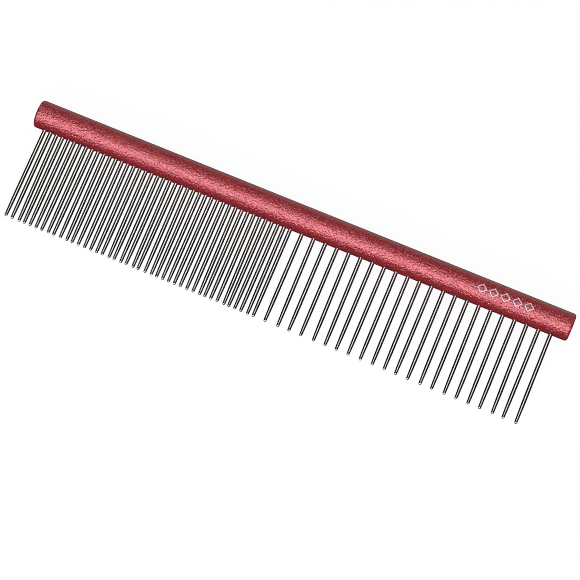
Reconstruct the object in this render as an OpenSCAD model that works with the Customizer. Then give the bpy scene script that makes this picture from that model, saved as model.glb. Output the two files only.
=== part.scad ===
// Double-density grooming comb: one row of steel teeth pressed into a round, hollow spine.
// The comb lies on a level surface, resting on its spine and on the tips of its teeth.
// +X runs along the spine towards the coarse teeth, -Y towards the tips, +Z up.
// The origin is on the surface, under the middle of the comb. Sizes are in millimetres.

/* [Spine] */
// Outer diameter of the spine tube
spine_dia = 9.5; // [8.5:0.1:12]
// Wall thickness of the spine tube
wall = 1.75; // [1.6:0.05:2.2]
// Radius of the rounded rim at each end of the tube
rim_radius = 1; // [0.4:0.1:1.5]
// Length of each end plug inside the tube
plug_len = 3.2; // [2:0.1:3.2]
// Chamfer on the inner edge of each plug
plug_chamfer = 0.4; // [0.1:0.05:0.8]

/* [Teeth] */
// Number of fine teeth, an even number because they are grouped in pairs
fine_count = 42; // [2:2:60]
// Number of coarse teeth
coarse_count = 22; // [1:1:24]
// Spacing of the fine teeth
fine_pitch = 2.15; // [1.9:0.05:4]
// Spacing of the coarse teeth, and of the step between the two rows
coarse_pitch = 4.175; // [2.5:0.025:8]
// Distance from the fine end of the spine to the first tooth
fine_margin = 4.35; // [4.3:0.05:15]
// Distance from the last tooth to the coarse end of the spine
coarse_margin = 5.65; // [4.3:0.05:15]
// Diameter of a tooth
tooth_dia = 1.38; // [1.1:0.02:1.5]
// Length of a tooth outside the spine
tooth_exposed = 31.75; // [20:0.25:45]
// Depth of the blind seat of each tooth in the far wall of the tube
seat_depth = 0.7; // [0.3:0.05:1]
// Diameter of a tooth where its rounded tip begins
tip_dia = 1.04; // [0.7:0.02:1.1]
// Length of the slim, curved taper that leads to the tip
taper_len = 9.6; // [4:0.2:15]
// Largest lean of a tooth along the row, as pressed, in degrees
lean_max = 0.5; // [0:0.05:0.6]

/* [Engraved ornament] */
// Depth of the ornament below the surface of the spine
engrave_depth = 0.15; // [0.05:0.05:0.3]
// Width of the engraved lines
line_width = 0.4; // [0.3:0.05:0.6]
// Number of diamonds in the ornament
diamond_count = 5; // [1:2:5]
// Length of one diamond along the spine
diamond_len = 3.7; // [2:0.1:4]
// Width of one diamond across the spine
diamond_width = 3.4; // [2:0.1:4]
// Plain surface left between two diamonds
diamond_gap = 0.4; // [0.2:0.1:1]
// Distance from the coarse end of the spine to the middle of the ornament
ornament_margin = 23.7; // [18:0.1:40]

/* [Hidden] */
spine_r = spine_dia / 2;
bore_r = spine_r - wall;
tooth_r = tooth_dia / 2;
tip_r = tip_dia / 2;
hidden_len = spine_dia - wall + seat_depth;
row_len = (fine_count - 1) * fine_pitch + coarse_count * coarse_pitch;
spine_len = fine_margin + row_len + coarse_margin;

// Steps of the taper and of the round tip in a tooth's outline.
taper_steps = 6;
tip_steps = 5;
root_chamfer = 0.15;

// The comb leans on its tips: the tilt that brings spine and tips down to one level surface.
tip_reach = spine_r + tooth_exposed - tip_r;
rest_tilt = asin((spine_r - tip_r) / tip_reach);
spine_y = (tip_reach * cos(rest_tilt) + tip_r - spine_r) / 2;

// One small lean for each tooth, the same on every build.
lean_seed = 7;
leans = rands(-lean_max, lean_max, fine_count + coarse_count, lean_seed);

function two_digits(n) = n < 10 ? str("0", n) : str(n);
function fine_pair_name(p) = str("fine_teeth_", two_digits(2 * p - 1), "_", two_digits(2 * p));
function coarse_name(c) = str("coarse_tooth_", two_digits(c));

// Place of tooth number i along the spine, where 0 is the tooth nearest the fine end.
function tooth_x(i) =
    -spine_len / 2 + fine_margin
    + min(i, fine_count - 1) * fine_pitch
    + max(i - fine_count + 1, 0) * coarse_pitch;

$fn = 48;

// Lays a comb built around its spine axis, teeth along -Y, down on the surface.
module at_rest() {
    translate([0, spine_y, spine_r])
        rotate([rest_tilt, 0, 0])
            children();
}

// Half outline of a tooth: a plain shank, a slim curved taper, and a rounded tip.
// Height 0 is the surface of the spine, where the tooth comes out.
function tooth_outline() =
    let (tip_start = tooth_exposed - tip_r, taper_start = tip_start - taper_len)
    concat(
        [
            [0, -hidden_len],
            [tooth_r - root_chamfer, -hidden_len],
            [tooth_r, -hidden_len + root_chamfer]
        ],
        [for (k = [0 : taper_steps]) let (t = k / taper_steps)
            [tooth_r - (tooth_r - tip_r) * t * t, taper_start + taper_len * t]],
        [for (k = [1 : tip_steps]) let (a = 90 * k / tip_steps)
            [tip_r * cos(a), tip_start + tip_r * sin(a)]]
    );

// Stands its children on the spine's surface at tooth i, with that tooth's lean.
module at_tooth(i) {
    translate([tooth_x(i), -spine_r, 0])
        rotate([90, 0, 0])
            rotate([0, leans[i], 0])
                children();
}

module tooth(i) {
    at_tooth(i) rotate_extrude() polygon(tooth_outline());
}

// Drilled through the near wall and on into the far wall, a light press on the tooth.
module tooth_hole(i) {
    drill_overshoot = 1;
    at_tooth(i)
        translate([0, 0, -hidden_len])
            cylinder(r = tooth_r, h = hidden_len + drill_overshoot);
}

// Outline of the tube along its axis: bore, square inner edge, rounded outer rim at both ends.
module tube_outline() {
    rim_y = spine_len / 2 - rim_radius;
    rim_x = spine_r - rim_radius;
    union() {
        translate([bore_r, -spine_len / 2])
            square([rim_x - bore_r, spine_len]);
        translate([bore_r, -rim_y])
            square([wall, 2 * rim_y]);
        for (side = [-1, 1])
            intersection() {
                translate([rim_x, side * rim_y])
                    circle(r = rim_radius);
                translate([rim_x, side > 0 ? rim_y : -rim_y - rim_radius])
                    square(rim_radius);
            }
    }
}

module tube_blank() {
    rotate([0, 90, 0]) rotate_extrude($fn = 96) tube_outline();
}

// Outline of one diamond, drawn as a line of even width.
module diamond_line() {
    corner_inset = line_width * norm([diamond_len, diamond_width]);
    inner_len = diamond_len - corner_inset / diamond_width * 2;
    inner_width = diamond_width - corner_inset / diamond_len * 2;
    difference() {
        diamond(diamond_len, diamond_width);
        diamond(inner_len, inner_width);
    }
}

module diamond(len, width) {
    polygon([[-len / 2, 0], [0, -width / 2], [len / 2, 0], [0, width / 2]]);
}

// A plain decorative row of diamonds, cut to one depth all over the round top of the spine.
module ornament() {
    middle = spine_len / 2 - ornament_margin;
    step = diamond_len + diamond_gap;
    difference() {
        for (k = [0 : diamond_count - 1])
            translate([middle + (k - (diamond_count - 1) / 2) * step, 0, 0])
                linear_extrude(height = spine_dia)
                    diamond_line();
        rotate([0, 90, 0])
            cylinder(r = spine_r - engrave_depth, h = spine_len, center = true, $fn = 96);
    }
}

module spine_tube() {
    color("firebrick") at_rest() difference() {
        tube_blank();
        for (i = [0 : fine_count + coarse_count - 1]) tooth_hole(i);
        ornament();
    }
}

// A plug, flush with the end of the tube, its outer face at height 0 and its body below.
module end_plug() {
    rotate_extrude() polygon([
        [0, 0],
        [bore_r, 0],
        [bore_r, -plug_len + plug_chamfer],
        [bore_r - plug_chamfer, -plug_len],
        [0, -plug_len]
    ]);
}

module fine_end_plug() {
    color("firebrick") at_rest() translate([-spine_len / 2, 0, 0]) rotate([0, -90, 0]) end_plug();
}

module coarse_end_plug() {
    color("firebrick") at_rest() translate([spine_len / 2, 0, 0]) rotate([0, 90, 0]) end_plug();
}

// Teeth 2p-1 and 2p of the fine row, two separate pins.
module fine_pair(p) {
    color("silver") at_rest() {
        tooth(2 * p - 2);
        tooth(2 * p - 1);
    }
}

module coarse_tooth(c) {
    color("silver") at_rest() tooth(fine_count + c - 1);
}

spine_tube();
fine_end_plug();
coarse_end_plug();
for (p = [1 : fine_count / 2])
    fine_pair(p);
for (c = [1 : coarse_count])
    coarse_tooth(c);
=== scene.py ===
# Looks of the double-density grooming comb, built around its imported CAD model.
# Everything is in metres: +X along the spine towards the coarse teeth, -Y towards the tips, +Z up.
import math

import bpy
import numpy as np
from mathutils import Matrix, Quaternion, Vector, noise


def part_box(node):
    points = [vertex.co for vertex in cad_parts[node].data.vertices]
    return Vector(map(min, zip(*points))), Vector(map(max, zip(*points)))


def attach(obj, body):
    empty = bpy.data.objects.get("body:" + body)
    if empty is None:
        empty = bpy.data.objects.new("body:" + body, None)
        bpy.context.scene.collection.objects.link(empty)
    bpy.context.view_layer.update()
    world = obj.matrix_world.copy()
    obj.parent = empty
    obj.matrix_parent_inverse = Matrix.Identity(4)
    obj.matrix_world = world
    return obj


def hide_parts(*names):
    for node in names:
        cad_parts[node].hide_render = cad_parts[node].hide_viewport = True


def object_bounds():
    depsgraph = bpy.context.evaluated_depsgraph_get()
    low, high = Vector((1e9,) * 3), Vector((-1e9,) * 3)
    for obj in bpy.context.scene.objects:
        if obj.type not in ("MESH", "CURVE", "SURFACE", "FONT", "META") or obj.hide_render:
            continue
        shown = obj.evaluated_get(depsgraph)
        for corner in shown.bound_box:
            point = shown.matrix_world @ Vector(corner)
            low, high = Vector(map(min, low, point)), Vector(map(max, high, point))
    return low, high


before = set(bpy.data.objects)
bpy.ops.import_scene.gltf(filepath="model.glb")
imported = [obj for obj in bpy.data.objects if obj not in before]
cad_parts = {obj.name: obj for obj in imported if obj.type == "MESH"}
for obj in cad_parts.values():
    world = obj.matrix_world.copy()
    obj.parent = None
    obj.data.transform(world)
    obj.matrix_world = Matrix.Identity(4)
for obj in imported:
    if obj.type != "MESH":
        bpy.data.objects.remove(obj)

CAD_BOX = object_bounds()
MM = 0.001

# ---------------------------------------------------------------- sizes taken from the frame

SPINE_LOW, SPINE_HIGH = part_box("spine_tube")
SPINE_LENGTH = SPINE_HIGH.x - SPINE_LOW.x
SPINE_RADIUS = (SPINE_HIGH.z - SPINE_LOW.z) / 2
SPINE_CENTRE = (SPINE_LOW + SPINE_HIGH) / 2
PLUG_LOW, PLUG_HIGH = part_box("fine_end_plug")
PLUG_LENGTH = PLUG_HIGH.x - PLUG_LOW.x
BORE_RADIUS = (PLUG_HIGH.z - PLUG_LOW.z) / 2
TOOTH_NODES = sorted(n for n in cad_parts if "teeth" in n or "tooth" in n)

# ---------------------------------------------------------------- design values of the looks

RIM_RADIUS = 1.0 * MM          # round outer rim at each end of the spine
JOINT_CHAMFER = 0.1 * MM       # tiny bevels that leave a hairline between tube and plug
PLUG_INNER_CHAMFER = 0.4 * MM
TOOTH_RADIUS = 0.69 * MM
SEAT_CHAMFER = 0.15 * MM
TAPER_LENGTH = 9.6 * MM
TIP_RADIUS = 0.52 * MM

COAT_CELL = 0.27 * MM          # spacing of the coating's mesh
COAT_RELIEF = 0.03 * MM        # deepest hollow of the hammered coating
COAT_GRAINS = 1.5 / MM         # how many grains of relief there are in a metre
COAT_WAVES = 0.35 / MM         # how many slow swells there are in a metre under the grains

ENGRAVE_DEPTH = 0.15 * MM
LINE_WIDTH = 0.4 * MM
DIAMOND_COUNT = 5
DIAMOND_LENGTH = 3.7 * MM
DIAMOND_WIDTH = 3.4 * MM
DIAMOND_GAP = 0.4 * MM
ORNAMENT_MARGIN = 23.7 * MM    # from the coarse end of the spine to the ornament's middle

NOISE_LOW, NOISE_HIGH = 0.3, 0.7   # nearly all values of a noise texture lie between these

LAMP_DISTANCE = 1.2
COOL_LIGHT = (1.0, 1.0, 1.12)
GLOW_FLOOR = 0.001             # radiance that each glow adds even far from its middle
PIXEL_FILTER = 0.85            # narrow, in pixels, to keep the thin dark edges of the teeth crisp


# ---------------------------------------------------------------- materials

def new_material(name):
    """A material with only its Principled shader: returns material, node tree and shader."""
    material = bpy.data.materials.new(name)
    material.use_nodes = True
    tree = material.node_tree
    shader = tree.nodes["Principled BSDF"]
    return material, tree, shader


def millimetres(tree, stretch=(1, 1, 1)):
    """Object coordinates in millimetres, stretched along an axis by values below 1."""
    coordinates = tree.nodes.new("ShaderNodeTexCoord")
    mapping = tree.nodes.new("ShaderNodeMapping")
    mapping.inputs["Scale"].default_value = [1000 * s for s in stretch]
    tree.links.new(coordinates.outputs["Object"], mapping.inputs["Vector"])
    return mapping.outputs["Vector"]


def noise_texture(tree, vector, scale, detail=2.0, roughness=0.5):
    """Smooth noise of about 0 to 1, with scale grains per unit of the vector."""
    node = tree.nodes.new("ShaderNodeTexNoise")
    node.inputs["Scale"].default_value = scale
    node.inputs["Detail"].default_value = detail
    node.inputs["Roughness"].default_value = roughness
    tree.links.new(vector, node.inputs["Vector"])
    return node.outputs["Fac"]


def cell_texture(tree, vector, scale):
    """Random cells, each with its own flat value."""
    node = tree.nodes.new("ShaderNodeTexVoronoi")
    node.inputs["Scale"].default_value = scale
    tree.links.new(vector, node.inputs["Vector"])
    return node.outputs["Color"]


def remap(tree, value, low, high, to_low, to_high):
    """Turns low into to_low and high into to_high, evenly between them and no further."""
    node = tree.nodes.new("ShaderNodeMapRange")
    node.inputs["From Min"].default_value = low
    node.inputs["From Max"].default_value = high
    node.inputs["To Min"].default_value = to_low
    node.inputs["To Max"].default_value = to_high
    tree.links.new(value, node.inputs["Value"])
    return node.outputs["Result"]


def vary(tree, noise_value, least, most):
    """A number between least and most that follows a noise texture."""
    return remap(tree, noise_value, NOISE_LOW, NOISE_HIGH, least, most)


def blend(tree, share, first, second):
    """A mix of two values: share of the second one."""
    node = tree.nodes.new("ShaderNodeMix")
    node.inputs["Factor"].default_value = share
    tree.links.new(first, node.inputs["A"])
    tree.links.new(second, node.inputs["B"])
    return node.outputs["Result"]


def combine(tree, operation, *values):
    """The result of a mathematical operation on one or two values."""
    node = tree.nodes.new("ShaderNodeMath")
    node.operation = operation
    for value, socket in zip(values, node.inputs):
        tree.links.new(value, socket)
    return node.outputs["Value"]


def colours(tree, value, stops):
    """A colour ramp over value: stops are (position, (r, g, b))."""
    node = tree.nodes.new("ShaderNodeValToRGB")
    ramp = node.color_ramp
    ramp.elements[0].position, ramp.elements[-1].position = stops[0][0], stops[-1][0]
    for position, _ in stops[1:-1]:
        ramp.elements.new(position)
    for element, (_, rgb) in zip(ramp.elements, stops):
        element.color = (*rgb, 1)
    tree.links.new(value, node.inputs["Fac"])
    return node.outputs["Color"]


def bump(tree, height, distance):
    """Bump from a height of 0 to 1 that stands for a relief of distance metres."""
    node = tree.nodes.new("ShaderNodeBump")
    node.inputs["Distance"].default_value = distance
    tree.links.new(height, node.inputs["Height"])
    return node.outputs["Normal"]


def red_coating():
    """Baked red hammer coating: metallic colour under clear gloss, both rippled by fine grains."""
    material, tree, shader = new_material("red_hammer_coating")
    place = millimetres(tree)
    grain = noise_texture(tree, place, scale=1.6, detail=1.0)
    flakes = cell_texture(tree, place, scale=5.0)
    patches = noise_texture(tree, place, scale=0.35, detail=1.0)
    flake_share = 0.25
    tint = colours(tree, blend(tree, flake_share, grain, flakes), [
        (0.30, (0.36, 0.026, 0.032)),
        (0.50, (0.48, 0.040, 0.048)),
        (0.70, (0.60, 0.062, 0.078)),
    ])
    tree.links.new(tint, shader.inputs["Base Color"])
    tree.links.new(vary(tree, patches, 0.18, 0.26), shader.inputs["Roughness"])
    shader.inputs["Metallic"].default_value = 0.55
    shader.inputs["Coat Weight"].default_value = 1.0
    shader.inputs["Coat Roughness"].default_value = 0.12
    shader.inputs["Coat IOR"].default_value = 1.8
    ripple = bump(tree, grain, distance=0.3 * MM)
    tree.links.new(ripple, shader.inputs["Normal"])
    tree.links.new(ripple, shader.inputs["Coat Normal"])
    return material


def bare_metal():
    """Bright metal in the engraved lines, with faint cutter marks."""
    material, tree, shader = new_material("engraved_bare_metal")
    marks = noise_texture(tree, millimetres(tree, stretch=(1, 4, 1)), scale=5.0)
    tint = colours(tree, marks, [(NOISE_LOW, (0.62, 0.59, 0.58)), (NOISE_HIGH, (0.76, 0.73, 0.72))])
    tree.links.new(tint, shader.inputs["Base Color"])
    shader.inputs["Metallic"].default_value = 0.6
    tree.links.new(vary(tree, marks, 0.35, 0.5), shader.inputs["Roughness"])
    tree.links.new(bump(tree, marks, distance=0.01 * MM), shader.inputs["Normal"])
    return material


def polished_steel():
    """Polished wire: faint drawing lines along each tooth and small changes of gloss."""
    material, tree, shader = new_material("polished_steel_wire")
    along_teeth = millimetres(tree, stretch=(1, 0.02, 1))
    lines = noise_texture(tree, along_teeth, scale=9.0, detail=3.0, roughness=0.6)
    blotches = noise_texture(tree, millimetres(tree), scale=0.6)
    tint = colours(tree, blotches, [(NOISE_LOW, (0.61, 0.59, 0.57)), (NOISE_HIGH, (0.73, 0.71, 0.69))])
    tree.links.new(tint, shader.inputs["Base Color"])
    shader.inputs["Metallic"].default_value = 1.0
    tree.links.new(vary(tree, lines, 0.12, 0.22), shader.inputs["Roughness"])
    tree.links.new(bump(tree, lines, distance=0.002 * MM), shader.inputs["Normal"])
    return material


def white_floor():
    """A matt sheet that glows white by itself, so it stays even and nearly free of shadows."""
    material, tree, shader = new_material("pale_floor")
    shader.inputs["Base Color"].default_value = (0.06, 0.06, 0.06, 1)
    shader.inputs["Roughness"].default_value = 0.9
    shader.inputs["Specular IOR Level"].default_value = 0
    shader.inputs["Emission Color"].default_value = (1, 1, 1, 1)
    shader.inputs["Emission Strength"].default_value = 0.93
    return material


# ---------------------------------------------------------------- mesh helpers

def make_object(name, points, faces, materials):
    """A smooth-shaded mesh object in the scene; its faces take the first of the materials."""
    mesh = bpy.data.meshes.new(name)
    mesh.from_pydata([tuple(p) for p in points], [], faces)
    mesh.validate()
    for material in materials:
        mesh.materials.append(material)
    mesh.polygons.foreach_set("use_smooth", [True] * len(mesh.polygons))
    mesh.update()
    piece = bpy.data.objects.new(name, mesh)
    bpy.context.scene.collection.objects.link(piece)
    return piece


def ring_faces(rings, segments, first=0, closed=False):
    """Quads between rings of points that follow each other; closed joins the last to the first."""
    faces = []
    for ring in range(rings if closed else rings - 1):
        here = first + ring * segments
        there = first + (ring + 1) % rings * segments
        for k in range(segments):
            n = (k + 1) % segments
            faces.append((here + k, here + n, there + n, there + k))
    return faces


def turned(profile, segments):
    """A closed turned solid about Z from (radius, height) pairs that rise from axis to axis."""
    inner = profile[1:-1]
    turn = [2 * math.pi * k / segments for k in range(segments)]
    points = [(r * math.cos(a), r * math.sin(a), h) for r, h in inner for a in turn]
    faces = ring_faces(len(inner), segments)
    bottom, top = len(points), len(points) + 1
    last = (len(inner) - 1) * segments
    points += [(0, 0, profile[0][1]), (0, 0, profile[-1][1])]
    for k in range(segments):
        n = (k + 1) % segments
        faces.append((bottom, n, k))
        faces.append((top, last + k, last + n))
    return points, faces


def placed(points, matrix):
    """The points moved by a matrix."""
    return [matrix @ Vector(p) for p in points]


# ---------------------------------------------------------------- teeth

def pins_of(node):
    """(seat, tip) of each pin in a tooth node: the ends of the axis of its CAD mesh."""
    points = np.array([v.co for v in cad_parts[node].data.vertices])
    points = np.unique(np.round(points / MM, 4), axis=0) * MM
    pins = [points]
    if node.startswith("fine_teeth"):
        order = np.sort(points[:, 0])
        split = np.argmax(np.diff(order))
        middle = (order[split] + order[split + 1]) / 2
        pins = [points[points[:, 0] < middle], points[points[:, 0] > middle]]
    ends = []
    for pin in pins:
        centre = pin.mean(0)
        axis = np.linalg.svd(pin - centre, full_matrices=False)[2][0]
        axis *= -np.sign(axis[1])
        reach = (pin - centre) @ axis
        ends.append((Vector(centre + axis * reach.min()), Vector(centre + axis * reach.max())))
    return ends


def tooth_profile(length):
    """Outline of a pin of that length, seat at height 0, tip at the top."""
    shank_rings, taper_rings, tip_rings = 6, 14, 7
    taper_top = length - TIP_RADIUS
    taper_foot = taper_top - TAPER_LENGTH
    profile = [(0, 0), (TOOTH_RADIUS - SEAT_CHAMFER, 0)]
    for k in range(shank_rings):
        profile.append((TOOTH_RADIUS, SEAT_CHAMFER + (taper_foot - SEAT_CHAMFER) * k / shank_rings))
    for k in range(taper_rings + 1):
        t = k / taper_rings
        profile.append((TOOTH_RADIUS - (TOOTH_RADIUS - TIP_RADIUS) * t * t, taper_foot + TAPER_LENGTH * t))
    for k in range(1, tip_rings):
        a = math.pi / 2 * k / tip_rings
        profile.append((TIP_RADIUS * math.cos(a), taper_top + TIP_RADIUS * math.sin(a)))
    profile.append((0, length))
    return profile


def make_teeth(node, steel):
    """The pins of one CAD node as one piece, which neither the coat nor other teeth mirror."""
    segments = 28
    points, faces = [], []
    for seat, tip in pins_of(node):
        axis = tip - seat
        stand = Matrix.Translation(seat) @ axis.to_track_quat("Z", "X").to_matrix().to_4x4()
        pin_points, pin_faces = turned(tooth_profile(axis.length), segments)
        base = len(points)
        points += placed(pin_points, stand)
        faces += [tuple(base + i for i in face) for face in pin_faces]
    piece = make_object(node + "_polished", points, faces, [steel])
    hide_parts(node)
    piece.visible_glossy = False
    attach(piece, "root")
    return piece


def comb_tilt():
    """Angle between the row of teeth and the floor."""
    seat, tip = pins_of(TOOTH_NODES[0])[0]
    return math.atan2(seat.z - tip.z, seat.y - tip.y)


# ---------------------------------------------------------------- spine

# Turns comb axes (teeth along -Y, face along +Z, spine axis at the origin) into the row's frame.
LAY = Matrix.Translation((0, SPINE_CENTRE.y, SPINE_CENTRE.z)) @ Matrix.Rotation(comb_tilt(), 4, "X")


def spine_outline():
    """(x, radius) pairs over the outside of the coated tube, from the bore at one end to the other."""
    end = SPINE_LENGTH / 2
    annulus = SPINE_RADIUS - RIM_RADIUS
    rim_steps = 7
    half = [(JOINT_CHAMFER, BORE_RADIUS), (0, BORE_RADIUS + JOINT_CHAMFER), (0, annulus)]
    for k in range(1, rim_steps + 1):
        a = math.pi / 2 * k / rim_steps
        half.append((RIM_RADIUS * (1 - math.cos(a)), annulus + RIM_RADIUS * math.sin(a)))
    straight = SPINE_LENGTH - 2 * RIM_RADIUS
    columns = round(straight / COAT_CELL)
    outline = [(-end + x, r) for x, r in half]
    outline += [(-end + RIM_RADIUS + straight * k / columns, SPINE_RADIUS) for k in range(1, columns)]
    outline += [(end - x, r) for x, r in reversed(half)]
    return outline


def coat_depth(point):
    """Depth of the hammered coating's relief at a point, from 0 to COAT_RELIEF."""
    grain_share, wave_share = 0.45, 0.15
    elsewhere = Vector((31, 7, 3))
    grains = noise.noise(point * COAT_GRAINS)
    waves = noise.noise(point * COAT_WAVES + elsewhere)
    level = 0.5 + grain_share * grains + wave_share * waves
    return COAT_RELIEF * min(max(level, 0), 1)


def make_spine(coating, metal):
    """The coated tube, its surface hammered in the mesh, with the ornament cut through the coat."""
    outline = spine_outline()
    segments = round(2 * math.pi * SPINE_RADIUS / COAT_CELL)
    points = []
    for x, r in outline:
        for k in range(segments):
            a = 2 * math.pi * k / segments
            point = Vector((x, r * math.sin(a), r * math.cos(a)))
            if r > BORE_RADIUS + 2 * JOINT_CHAMFER:
                point -= Vector((0, math.sin(a), math.cos(a))) * coat_depth(point)
            points.append(point)
    faces = ring_faces(len(outline), segments, closed=True)
    spine = make_object("spine_coated_tube", placed(points, LAY), faces, [coating, metal])
    engrave(spine, metal)
    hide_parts("spine_tube")
    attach(spine, "root")
    return spine


def diamond_loop(middle, length, width, steps):
    """Points round one diamond, with steps points along each side."""
    corners = [(-length / 2, 0), (0, -width / 2), (length / 2, 0), (0, width / 2)]
    loop = []
    for k, (x0, y0) in enumerate(corners):
        x1, y1 = corners[(k + 1) % len(corners)]
        for s in range(steps):
            t = s / steps
            loop.append((middle + x0 + (x1 - x0) * t, y0 + (y1 - y0) * t))
    return loop


def engrave(spine, metal):
    """Cuts the row of diamond lines into the top of the spine, down to bare metal."""
    sides, steps = 4, 8
    inset = LINE_WIDTH * math.hypot(DIAMOND_LENGTH, DIAMOND_WIDTH)
    inner_length = DIAMOND_LENGTH - 2 * inset / DIAMOND_WIDTH
    inner_width = DIAMOND_WIDTH - 2 * inset / DIAMOND_LENGTH
    floor_radius = SPINE_RADIUS - ENGRAVE_DEPTH
    middle = SPINE_LENGTH / 2 - ORNAMENT_MARGIN
    points, faces = [], []
    count = sides * steps
    for k in range(DIAMOND_COUNT):
        place = middle + (k - (DIAMOND_COUNT - 1) / 2) * (DIAMOND_LENGTH + DIAMOND_GAP)
        outer = diamond_loop(place, DIAMOND_LENGTH, DIAMOND_WIDTH, steps)
        inner = diamond_loop(place, inner_length, inner_width, steps)
        base = len(points)
        rings = ((outer, False), (outer, True), (inner, True), (inner, False))
        for loop, lifted in rings:
            for x, y in loop:
                floor = math.sqrt(floor_radius**2 - y * y)
                points.append((x, y, SPINE_RADIUS + ENGRAVE_DEPTH if lifted else floor))
        faces += ring_faces(len(rings), count, base, closed=True)
    cutter = make_object("diamond_cutter", placed(points, LAY), faces, [metal])
    cut = spine.modifiers.new("engraving", "BOOLEAN")
    cut.operation = "DIFFERENCE"
    cut.solver = "EXACT"
    cut.material_mode = "TRANSFER"
    cut.object = cutter
    bake_modifiers(spine)
    bpy.data.objects.remove(cutter)


def bake_modifiers(piece):
    """Replaces a piece's mesh by what its modifiers make of it."""
    evaluated = piece.evaluated_get(bpy.context.evaluated_depsgraph_get())
    mesh = bpy.data.meshes.new_from_object(evaluated)
    piece.modifiers.clear()
    piece.data = mesh


def make_plug(node, side, coating):
    """An end plug, its outer face flush with the tube, slightly dished and coated like it."""
    segments, face_rings = 64, 12
    dish = 0.03 * MM
    face_radius = BORE_RADIUS - JOINT_CHAMFER
    profile = [(0, 0)]
    profile.append((BORE_RADIUS - PLUG_INNER_CHAMFER, 0))
    profile.append((BORE_RADIUS, PLUG_INNER_CHAMFER))
    profile.append((BORE_RADIUS, PLUG_LENGTH - JOINT_CHAMFER))
    profile.append((face_radius, PLUG_LENGTH))
    for k in range(1, face_rings):
        t = k / face_rings
        sunk = dish * math.sin(math.pi / 2 * t)
        profile.append((face_radius * (1 - t), PLUG_LENGTH - sunk))
    profile.append((0, PLUG_LENGTH - dish))
    points, faces = turned(profile, segments)
    outward = Matrix.Rotation(side * math.pi / 2, 4, "Y")
    inner_end = Matrix.Translation((side * (SPINE_LENGTH / 2 - PLUG_LENGTH), 0, 0))
    piece = make_object(node + "_coated", placed(points, LAY @ inner_end @ outward), faces, [coating])
    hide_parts(node)
    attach(piece, "root")
    return piece


# ---------------------------------------------------------------- stage, light and camera

def around(azimuth, elevation):
    """Direction from the comb towards a place that is azimuth degrees from -Y, turning to +X."""
    a, e = math.radians(azimuth), math.radians(elevation)
    return Vector((math.sin(a) * math.cos(e), -math.cos(a) * math.cos(e), math.sin(e)))


def make_floor():
    """A large sheet just under the comb, left out of reflections and of the light on matt surfaces."""
    half, gap = 4.0, 0.05 * MM
    corners = [(-half, -half, 0), (half, -half, 0), (half, half, 0), (-half, half, 0)]
    floor = make_object("pale_floor_sheet", corners, [(0, 1, 2, 3)], [white_floor()])
    floor.location.z = CAD_BOX[0].z - gap
    floor.visible_glossy = False
    floor.visible_diffuse = False


def make_softbox(name, side, elevation, length, height, radiance, colour=(1, 1, 1)):
    """A lamp LAMP_DISTANCE away in the comb's cross plane, shifted by side metres along the spine."""
    light = bpy.data.lights.new(name, "AREA")
    light.shape = "RECTANGLE"
    light.size, light.size_y = length, height
    light.energy = math.pi * length * height * radiance
    light.color = colour
    lamp = bpy.data.objects.new(name, light)
    reach = around(0, elevation) * LAMP_DISTANCE + Vector((side, 0, 0))
    lamp.location = SPINE_CENTRE + reach
    lamp.rotation_euler = (-reach).to_track_quat("-Z", "Y").to_euler()
    bpy.context.scene.collection.objects.link(lamp)


def make_lamps():
    """A row of narrow softboxes in front, whose gaps make the grains sparkle, and a strip overhead."""
    count, spacing = 5, 0.5
    for k in range(count):
        make_softbox(
            "front_softbox_%d" % (k + 1),
            side=(k - (count - 1) / 2) * spacing,
            elevation=47,
            length=0.22,
            height=1.35,
            radiance=3.6,
            colour=COOL_LIGHT,
        )
    make_softbox("overhead_strip", side=0, elevation=96, length=0.95, height=0.35, radiance=1.5)


def room_direction(tree):
    """The direction of the place in the surrounding room that a ray reaches."""
    return tree.nodes.new("ShaderNodeTexCoord").outputs["Generated"]


def glow(tree, azimuth, elevation, edge, level):
    """Light from round one direction: level in its middle, GLOW_FLOOR past the cosine edge."""
    facing = tree.nodes.new("ShaderNodeVectorMath")
    facing.operation = "DOT_PRODUCT"
    facing.inputs[1].default_value = around(azimuth, elevation)
    tree.links.new(room_direction(tree), facing.inputs[0])
    return remap(tree, facing.outputs["Value"], edge, 1.0, GLOW_FLOOR, level)


def reflected_room(tree):
    """What mirrors see where no lamp is: a dark room with a glow behind and one in each corner."""
    total = glow(tree, azimuth=180, elevation=-15, edge=0.72, level=0.38)
    for side in (-1, 1):
        back_corner = glow(tree, azimuth=side * 130, elevation=34, edge=0.93, level=1.3)
        front_corner = glow(tree, azimuth=side * 43, elevation=5, edge=0.88, level=0.9)
        total = combine(tree, "ADD", total, back_corner)
        total = combine(tree, "ADD", total, front_corner)
    return total


def lit_room(tree):
    """What lights matt surfaces: an even white room, darker past both ends of the comb and from below."""
    split = tree.nodes.new("ShaderNodeSeparateXYZ")
    tree.links.new(room_direction(tree), split.inputs[0])
    sideways = combine(tree, "ABSOLUTE", split.outputs["X"])
    ends = remap(tree, sideways, low=0.25, high=0.75, to_low=1.2, to_high=0.05)
    height = remap(tree, split.outputs["Z"], low=-0.3, high=0.2, to_low=0.85, to_high=1.0)
    return combine(tree, "MULTIPLY", ends, height)


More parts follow.
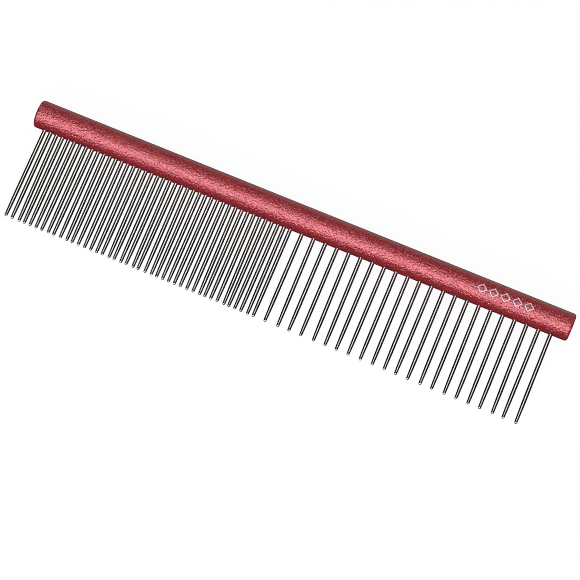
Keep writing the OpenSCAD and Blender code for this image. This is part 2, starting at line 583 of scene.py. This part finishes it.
def background(tree, strength):
    """A white background that shines as strongly as the value in each direction says."""
    node = tree.nodes.new("ShaderNodeBackground")
    tree.links.new(strength, node.inputs["Strength"])
    return node.outputs["Background"]


def make_world():
    """A white room for the camera, a softer one for matt surfaces and a dim one for mirrors."""
    world = bpy.data.worlds.new("studio")
    bpy.context.scene.world = world
    world.use_nodes = True
    world.cycles.sampling_method = "NONE"
    tree = world.node_tree
    tree.nodes.clear()
    backdrop = tree.nodes.new("ShaderNodeBackground")
    backdrop.inputs["Color"].default_value = (1, 1, 1, 1)
    seen = backdrop.outputs["Background"]
    paths = tree.nodes.new("ShaderNodeLightPath")
    for kind, strength in (("Is Diffuse Ray", lit_room(tree)), ("Is Glossy Ray", reflected_room(tree))):
        mix = tree.nodes.new("ShaderNodeMixShader")
        tree.links.new(paths.outputs[kind], mix.inputs["Fac"])
        tree.links.new(seen, mix.inputs[1])
        tree.links.new(background(tree, strength), mix.inputs[2])
        seen = mix.outputs["Shader"]
    out = tree.nodes.new("ShaderNodeOutputWorld")
    tree.links.new(seen, out.inputs["Surface"])


def make_camera():
    """The photograph's viewing angle: high on the tips' side, the comb running down to the right."""
    azimuth, elevation, roll, distance = 13.67, 71.02, 9.13, 0.7825
    target = Vector((5.45, -8.55, 4.75)) * MM
    data = bpy.data.cameras.new("camera")
    data.lens = 149
    camera = bpy.data.objects.new("camera", data)
    toward = around(azimuth, elevation)
    aim = (-toward).to_track_quat("-Z", "Y")
    camera.rotation_mode = "QUATERNION"
    camera.rotation_quaternion = aim @ Quaternion((0, 0, 1), math.radians(roll))
    camera.location = target + toward * distance
    bpy.context.scene.collection.objects.link(camera)
    bpy.context.scene.camera = camera


# ---------------------------------------------------------------- the scene

coating = red_coating()
metal = bare_metal()
steel = polished_steel()

make_spine(coating, metal)
make_plug("fine_end_plug", -1, coating)
make_plug("coarse_end_plug", 1, coating)
for tooth_node in TOOTH_NODES:
    make_teeth(tooth_node, steel)

make_floor()
make_world()
make_lamps()
make_camera()
bpy.context.scene.view_settings.view_transform = "Standard"
bpy.context.scene.cycles.filter_width = PIXEL_FILTER
